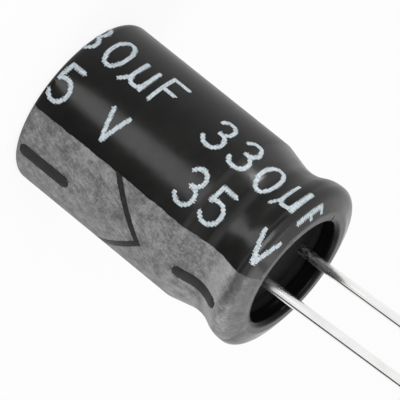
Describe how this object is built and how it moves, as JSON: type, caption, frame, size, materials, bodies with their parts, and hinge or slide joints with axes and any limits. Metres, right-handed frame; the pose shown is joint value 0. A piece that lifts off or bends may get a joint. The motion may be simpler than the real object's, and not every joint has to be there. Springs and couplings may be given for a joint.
{
  "type": "electrolytic capacitor",
  "caption": "Radial aluminium electrolytic capacitor: sleeved can with a crimped rubber end, polarity stripe and straight wire leads.",
  "frame": {"origin": "centre of the closed end, on the plane that the part stands on", "axes": "+Z along the can's axis, out of the rubber end; the leads lie on X, the cathode on +X beside the stripe"},
  "size_m": [0.0104, 0.0104, 0.0369],
  "materials": {
    "sleeve": "gloss shrink film",
    "can": "drawn, bright",
    "bung": "satin",
    "lead_wire": "bright tinned",
    "tab": "satin",
    "anode_foil": "etched, matt",
    "cathode_foil": "etched, satin",
    "separator": "damp kraft paper",
    "tape": "film tape"
  },
  "bodies": {
    "root": {"sleeve": "sleeve", "can": "can", "rubber_bung": "bung", "anode_lead": "lead_wire", "cathode_lead": "lead_wire", "anode_tab": "tab", "cathode_tab": "tab", "anode_foil": "anode_foil", "cathode_foil": "cathode_foil", "inner_separator": "separator", "outer_separator": "separator", "winding_tape": "tape"}
  },
  "joints": []
}
